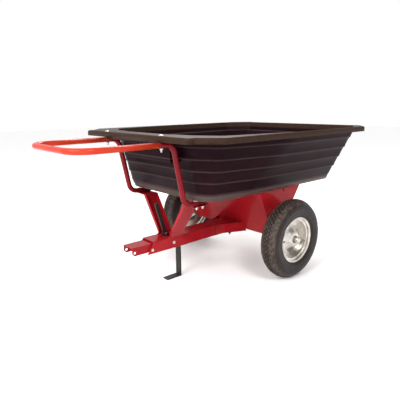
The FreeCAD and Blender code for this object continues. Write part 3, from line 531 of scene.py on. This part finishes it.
def drawLoop(bm, edges, corners, index, onward):
    # the open edges drawn on, each point shifted as its nearest corner moves
    grown = bmesh.ops.extrude_edge_only(bm, edges=edges)
    fresh = vertsOf(grown)
    for vert in fresh:
        vert.co += onward[vert[index]] - corners[vert[index]]
    fresh = set(fresh)
    return [e for e in edgesOf(grown) if all(v in fresh for v in e.verts)]


def roundCorners(bm, verts, outlines, index, offset, segments, keep):
    # each corner is rounded as far as its shorter side allows at every level
    for place, vert in enumerate(verts):
        if not keep(vert):
            room = min((line[place] - line[(place + step) % len(line)]).length
                       for line in outlines for step in (-1, 1))
            bmesh.ops.bevel(bm, geom=[vert], offset=min(offset, tub["cornerShare"] * room),
                            segments=segments, profile=0.5, affect="VERTICES", material=-1)
    first = outlines[0]
    for vert in bm.verts:
        if vert.co.z == first[0].z:
            vert[index] = min(range(len(first)), key=lambda i: (first[i] - vert.co).length)


def makeTub():
    bm = bmesh.new()
    index = bm.verts.layers.int.new("corner")
    levels = tubLevels()
    near = tub["tolerance"]
    floor = bm.faces.new([bm.verts.new(point) for point in levels[0]])
    roundCorners(bm, list(floor.verts), levels, index, tub["cornerRound"], 6,
                 lambda v: v.co.x > 0 and abs(v.co.y) < tub["bossSharp"])
    edges = list(bm.edges)
    for corners, onward in zip(levels, levels[1:]):
        edges = drawLoop(bm, edges, corners, index, onward)
    # the middle of the front wall stands forward above a ledge
    reach, ledge = tub["bossHalf"] + near, tub["bossLow"]
    boss = [f for f in bm.faces
            if all(v.co.x > 0 and abs(v.co.y) < reach and v.co.z > ledge - near for v in f.verts)]
    pushed = bmesh.ops.extrude_face_region(bm, geom=boss)
    bmesh.ops.delete(bm, geom=boss, context="FACES")
    for vert in vertsOf(pushed):
        vert.co.x = axleX + tub["bossFront"] - (tub["bossLedge"] if vert.co.z < ledge + near else 0.0)
    top = tub["brim"] - tub["thickness"]
    lids = [f for f in bm.faces if all(v.co.z > top - near for v in f.verts)]
    bmesh.ops.delete(bm, geom=lids, context="FACES")
    # brim: flat between the walls' top and the rim's outline, then rolled over into the skirt
    inner = [e for e in bm.edges if all(v.co.z > top - near for v in e.verts)]
    roll = tub["rimRoll"]
    corners = rimOutline(tub["thickness"] + roll, top)
    outline = [bm.verts.new(point) for point in corners]
    for one, two in zip(outline, outline[1:] + outline[:1]):
        bm.edges.new((one, two))
    (front, frontHalf), (rear, rearHalf) = tub["frontSharp"], tub["rearSharp"]
    roundCorners(bm, outline, [corners], index, tub["rimRound"], 4,
                 lambda v: (v.co.x > front and abs(v.co.y) < frontHalf
                            or v.co.x < rear and abs(v.co.y) < rearHalf))
    outer = [e for e in bm.edges if e.is_wire]
    bmesh.ops.triangle_fill(bm, use_beauty=True, use_dissolve=False, edges=inner + outer)
    edges = outer
    for turn in (30, 60, 90):
        angle = math.radians(turn)
        onward = rimOutline(tub["thickness"] + roll * (1 - math.sin(angle)),
                            top - roll * (1 - math.cos(angle)))
        edges = drawLoop(bm, edges, corners, index, onward)
        corners = onward
    onward = rimOutline(tub["thickness"] - tub["skirtFlare"], tub["brim"] - tub["skirt"])
    rearEnd, frontEnd = tub["skirtEnds"]
    for point in onward:
        if point.x > front and abs(point.y) < tub["middleHalf"]:
            point.z = tub["brim"] - tub["middleSkirt"]
        point.x = min(max(point.x, axleX + rearEnd), axleX + frontEnd)
        point.y = min(max(point.y, -tub["skirtHalf"]), tub["skirtHalf"])
    drawLoop(bm, edges, corners, index, onward)
    outward(bm)
    lowest = min(bm.faces, key=lambda f: f.calc_center_median().z)
    if lowest.normal.z > 0:
        bmesh.ops.reverse_faces(bm, faces=bm.faces)
    shell = addPiece(bm, "tubShell", "tub", crease=38.0)
    sheetThickness(shell, tub["thickness"], even=False)


makeTub()


# posts under the brim that bear on the tubes round the handle bolts
posts = {"forward": 0.667, "across": 0.222, "aboveTube": 0.0003, "belowBrim": 0.002,
         "footRadius": 0.011, "headRadius": 0.0135, "sides": 28, "edge": 0.0008}


def makePosts():
    bm = bmesh.new()
    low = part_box("left_frame_tube")[1].z + posts["aboveTube"]
    high = tub["brim"] - posts["belowBrim"]
    for side in (1, -1):
        middle = Vector((axleX + posts["forward"], side * posts["across"], (low + high) / 2))
        bmesh.ops.create_cone(bm, cap_ends=True, segments=posts["sides"], radius1=posts["footRadius"],
                              radius2=posts["headRadius"], depth=high - low,
                              matrix=Matrix.Translation(middle))
    softEdges(addPiece(bm, "brimPosts", "tub"), posts["edge"])


makePosts()
print("tub made")


# bent tubes of the handle and the front frame
tubing = {"radius": 0.0127, "wall": 0.0016, "sides": 32, "bendSteps": 12, "spread": 0.222,
          "handleBend": 0.092, "frameBend": 0.046, "handleHeight": 0.711, "bedHeight": 0.434,
          # from the axle: where handle and frame meet, the grip, the frame's two bends and its end
          "joint": 0.682, "grip": 1.046, "upperBend": 0.606, "lowerBend": 0.549, "frameEnd": 0.424}


def growTube(bm, edges, step):
    grown = bmesh.ops.extrude_edge_only(bm, edges=edges)
    bmesh.ops.translate(bm, verts=vertsOf(grown), vec=step)
    moved = set(vertsOf(grown))
    return [e for e in edgesOf(grown) if all(v in moved for v in e.verts)]


def bentTube(corners, bend):
    bm = bmesh.new()
    heading = (corners[1] - corners[0]).normalized()
    facing = heading.to_track_quat("Z", "Y").to_matrix().to_4x4()
    bmesh.ops.create_circle(bm, cap_ends=False, radius=tubing["radius"], segments=tubing["sides"],
                            matrix=Matrix.Translation(corners[0]) @ facing)
    edges = list(bm.edges)
    at = corners[0]
    for corner, after in zip(corners[1:-1], corners[2:]):
        turned = (after - corner).normalized()
        angle = heading.angle(turned)
        reach = bend * math.tan(angle / 2)
        edges = growTube(bm, edges, corner - heading * reach - at)
        axis = heading.cross(turned).normalized()
        centre = corner - heading * reach + axis.cross(heading) * bend
        spun = bmesh.ops.spin(bm, geom=edges, cent=centre, axis=axis, angle=angle,
                              steps=tubing["bendSteps"])
        edges = [item for item in spun["geom_last"] if isinstance(item, bmesh.types.BMEdge)]
        at, heading = corner + turned * reach, turned
    growTube(bm, edges, corners[-1] - at)
    outward(bm)
    return bm


def tubePoint(place, y, height):
    return Vector((axleX + tubing[place], y, tubing[height]))


def makeTubes():
    spread = tubing["spread"]
    loop = [tubePoint("joint", -spread, "handleHeight"), tubePoint("grip", -spread, "handleHeight"),
            tubePoint("grip", spread, "handleHeight"), tubePoint("joint", spread, "handleHeight")]
    handle = addPiece(bentTube(loop, tubing["handleBend"]), "pushHandle", "push_handle")
    sheetThickness(handle, tubing["wall"])
    for name, y in (("left", spread), ("right", -spread)):
        leg = [tubePoint("joint", y, "handleHeight"), tubePoint("upperBend", y, "handleHeight"),
               tubePoint("lowerBend", y, "bedHeight"), tubePoint("frameEnd", y, "bedHeight")]
        # the frame tubes take the darker copy of the frame paint, painted shade
        piece = addPiece(bentTube(leg, tubing["frameBend"]), name + "FrameTube", name + "_frame_tube",
                         finish=tubeRed)
        sheetThickness(piece, tubing["wall"])


makeTubes()
print("handle and frame tubes made")


# wheels: (distance across, radius) profiles turned round the axle
wheel = {
    "track": 0.3985, "steps": 96, "rimGauge": 0.0024,
    "tyreHalf": ((0.0, 0.1988), (0.012, 0.1984), (0.024, 0.1958), (0.034, 0.1905), (0.0405, 0.1850),
                 (0.0450, 0.1785), (0.0472, 0.1735), (0.0486, 0.1690), (0.0480, 0.1672),
                 (0.0490, 0.1650), (0.0492, 0.1560), (0.0484, 0.1470), (0.0465, 0.1400),
                 (0.0470, 0.1375), (0.0462, 0.1345), (0.0440, 0.1305), (0.0415, 0.1250),
                 (0.0385, 0.1195), (0.0340, 0.1150), (0.0300, 0.1130), (0.0230, 0.1125)),
    "rimHalf": ((0.0392, 0.1172), (0.0384, 0.1135), (0.0352, 0.1083), (0.0276, 0.1083),
                (0.0250, 0.0988), (0.0110, 0.0968), (0.0016, 0.0960), (0.0016, 0.0700),
                (0.0060, 0.0600), (0.0150, 0.0490), (0.0225, 0.0400), (0.0268, 0.0330),
                (0.0284, 0.0255), (0.0284, 0.0174)),
}
tread = {
    "around": 60,
    # each row of blocks: degrees round the section, share of a pitch, length, width, skew
    "rows": ((7.5, 0.0, 0.0150, 0.0088, 0.0), (21.5, 0.5, 0.0140, 0.0096, 6.0),
             (36.0, 0.0, 0.0130, 0.0098, -6.0), (50.0, 0.5, 0.0115, 0.0098, 0.0),
             (63.5, 0.0, 0.0085, 0.0100, 0.0)),
    "sectionMiddle": 0.1535, "sectionRadius": 0.0494, "sink": 0.0056,
    "depth": 0.012, "taper": 0.84, "edge": 0.0011,
}


def spinProfile(points, side, closed):
    bm = bmesh.new()
    verts = [bm.verts.new((axleX, side * (wheel["track"] + y), axleZ + r)) for y, r in points]
    pairs = list(zip(verts, verts[1:])) + ([(verts[-1], verts[0])] if closed else [])
    edges = [bm.edges.new(pair) for pair in pairs]
    bmesh.ops.spin(bm, geom=verts + edges, cent=(axleX, 0, axleZ), axis=(0, 1, 0), angle=math.tau,
                   steps=wheel["steps"], use_merge=True)
    return bm


def makeTyre(name, side):
    half = wheel["tyreHalf"]
    bm = spinProfile([*half, *[(-y, r) for y, r in reversed(half[1:])]], side, True)
    outward(bm)
    # one pitch of blocks, then the rest of the tread round the axle
    blocks = []
    pitch = math.tau / tread["around"]
    for lean, stagger, length, width, skew in tread["rows"]:
        for hand in (1, -1):
            made = bmesh.ops.create_cube(bm, size=1.0)["verts"]
            bmesh.ops.scale(bm, verts=made, vec=(length, width, tread["depth"]))
            tops = [v for v in made if v.co.z > 0]
            bmesh.ops.scale(bm, verts=tops, vec=(tread["taper"], tread["taper"], 1.0))
            bmesh.ops.rotate(bm, verts=made, matrix=Matrix.Rotation(math.radians(skew * hand), 3, "Z"))
            bmesh.ops.translate(bm, verts=made, vec=(0, 0, tread["sectionRadius"] - tread["sink"]))
            bmesh.ops.rotate(bm, verts=made, matrix=Matrix.Rotation(math.radians(-lean * hand), 3, "X"))
            bmesh.ops.translate(bm, verts=made, vec=(0, 0, tread["sectionMiddle"]))
            shift = stagger * pitch + (pitch / 2 if hand < 0 else 0.0)
            bmesh.ops.rotate(bm, verts=made, matrix=Matrix.Rotation(shift, 3, "Y"))
            bmesh.ops.translate(bm, verts=made, vec=(axleX, side * wheel["track"], axleZ))
            edges = list({e for v in tops for e in v.link_edges})
            shaped = bmesh.ops.bevel(bm, geom=edges, offset=tread["edge"], segments=1, profile=0.5,
                                     affect="EDGES", material=-1)
            blocks.append(shaped["faces"][0])
    linked = set()
    for face in blocks:
        waiting = [face]
        while waiting:
            here = waiting.pop()
            if here not in linked:
                linked.add(here)
                waiting += [f for e in here.edges for f in e.link_faces]
    bmesh.ops.spin(bm, geom=list(linked), cent=(axleX, 0, axleZ), axis=(0, 1, 0),
                   angle=math.tau - pitch, steps=tread["around"] - 1, use_duplicate=True)
    addPiece(bm, name + "TyreTread", name + "_tyre", crease=40.0)


def makeRim(name, side, half, hand):
    bm = spinProfile([(hand * y, r) for y, r in wheel["rimHalf"]], side, False)
    outward(bm)
    piece = addPiece(bm, f"{name}{half.capitalize()}Rim", f"{name}_{half}_rim", crease=50.0)
    sheetThickness(piece, wheel["rimGauge"], side=0.0)


for name, side in (("left", 1), ("right", -1)):
    makeTyre(name, side)
    makeRim(name, side, "outer", 1)
    makeRim(name, side, "inner", -1)
    dressed(name + "_valve_stem", dressing["fineEdge"])
print("wheels made")


# camera, floor and light
view = {"place": (1.43179, 1.59993, 0.87106), "target": (0.02519, 0.0, 0.37894), "roll": -0.608,
        "lens": 37.037, "sensor": 36.0, "farthest": 60.0}
back = (Vector(view["place"]) - Vector(view["target"])).normalized()
level = Vector((-back.y, back.x, 0)).normalized()
upright = back.cross(level)
roll = math.radians(view["roll"])
right = level * math.cos(roll) + upright * math.sin(roll)
facing = Matrix((right, back.cross(right), back)).transposed().to_4x4()
camera = bpy.data.objects.new("studioCamera", bpy.data.cameras.new("studioCamera"))
camera.data.lens = view["lens"]
camera.data.sensor_width = view["sensor"]
camera.data.clip_end = view["farthest"]
camera.matrix_world = Matrix.Translation(view["place"]) @ facing
bpy.context.scene.collection.objects.link(camera)
bpy.context.scene.camera = camera

studio = {
    "floor": (0.96, 0.96, 0.96), "floorHeight": -0.0006, "floorSize": 14.0, "floorRough": 0.9,
    # each soft light: where it is, where it points, its sides and its power
    "lights": {"frontLight": ((3.4, 0.6, 2.2), (0.1, 0.0, 0.4), (1.8, 1.8), 110.0),
               "cornerLight": ((1.1, 3.1, 2.9), (-0.4, -0.2, 0.6), (1.2, 1.2), 90.0),
               "backLight": ((-2.0, -2.2, 3.0), (0.2, 0.0, 0.3), (2.2, 1.0), 90.0)},
    "skyFrom": (0.75, -0.15, 1.0), "skyPower": 1.0, "skyAngle": 1.0,
    # the world's strength, what is left of it in the dim part, and where that begins and ends
    "bright": 1.0, "dim": 0.10, "dimHeight": (0.36, 0.55), "dimSide": (-0.1, 0.5),
}


def makeFloor():
    bm = bmesh.new()
    bmesh.ops.create_grid(bm, x_segments=1, y_segments=1, size=studio["floorSize"],
                          matrix=Matrix.Translation((0.0, 0.0, studio["floorHeight"])))
    mesh = bpy.data.meshes.new("studioFloor")
    bm.to_mesh(mesh)
    bm.free()
    floor = bpy.data.objects.new("studioFloor", mesh)
    bpy.context.scene.collection.objects.link(floor)
    f = Finish("paleFloor")
    mesh.materials.append(f.done(colour=studio["floor"], rough=studio["floorRough"], specular=0.1))


def softbox(name, place, aim, size, power):
    light = bpy.data.lights.new(name, "AREA")
    light.shape = "RECTANGLE"
    light.size, light.size_y = size
    light.energy = power
    lamp = bpy.data.objects.new(name, light)
    lamp.location = place
    lamp.rotation_euler = (Vector(aim) - Vector(place)).to_track_quat("-Z", "Y").to_euler()
    bpy.context.scene.collection.objects.link(lamp)


makeFloor()
for name, settings in studio["lights"].items():
    softbox(name, *settings)
sky = bpy.data.lights.new("skyLight", "SUN")
sky.energy, sky.angle = studio["skyPower"], studio["skyAngle"]
skyLamp = bpy.data.objects.new("skyLight", sky)
skyLamp.rotation_euler = Vector(studio["skyFrom"]).to_track_quat("Z", "Y").to_euler()
bpy.context.scene.collection.objects.link(skyLamp)


# white all round, dimmer high up on the cart's left, as a room with one dark upper wall
def makeWorld():
    world = bpy.data.worlds.new("studioWorld")
    world.use_nodes = True
    tree = world.node_tree
    place = tree.nodes.new("ShaderNodeTexCoord")
    split = tree.nodes.new("ShaderNodeSeparateXYZ")
    tree.links.new(place.outputs["Generated"], split.inputs[0])

    def fade(axis, values):
        made = tree.nodes.new("ShaderNodeMapRange")
        made.interpolation_type = "SMOOTHSTEP"
        tree.links.new(split.outputs[axis], made.inputs["Value"])
        for word, amount in zip(("From Min", "From Max", "To Min", "To Max"), values):
            made.inputs[word].default_value = amount
        return made

    high = fade("Z", (*studio["dimHeight"], 0.0, studio["bright"] - studio["dim"]))
    left = fade("Y", (*studio["dimSide"], 0.0, 1.0))
    taken = tree.nodes.new("ShaderNodeMath")
    taken.operation = "MULTIPLY"
    tree.links.new(high.outputs["Result"], taken.inputs[0])
    tree.links.new(left.outputs["Result"], taken.inputs[1])
    strength = tree.nodes.new("ShaderNodeMath")
    strength.operation = "SUBTRACT"
    strength.inputs[0].default_value = studio["bright"]
    tree.links.new(taken.outputs[0], strength.inputs[1])
    background = tree.nodes["Background"]
    background.inputs["Color"].default_value = (1.0, 1.0, 1.0, 1.0)
    tree.links.new(strength.outputs[0], background.inputs["Strength"])
    bpy.context.scene.world = world


makeWorld()
bpy.context.scene.view_settings.view_transform = "Standard"
print("stage set")
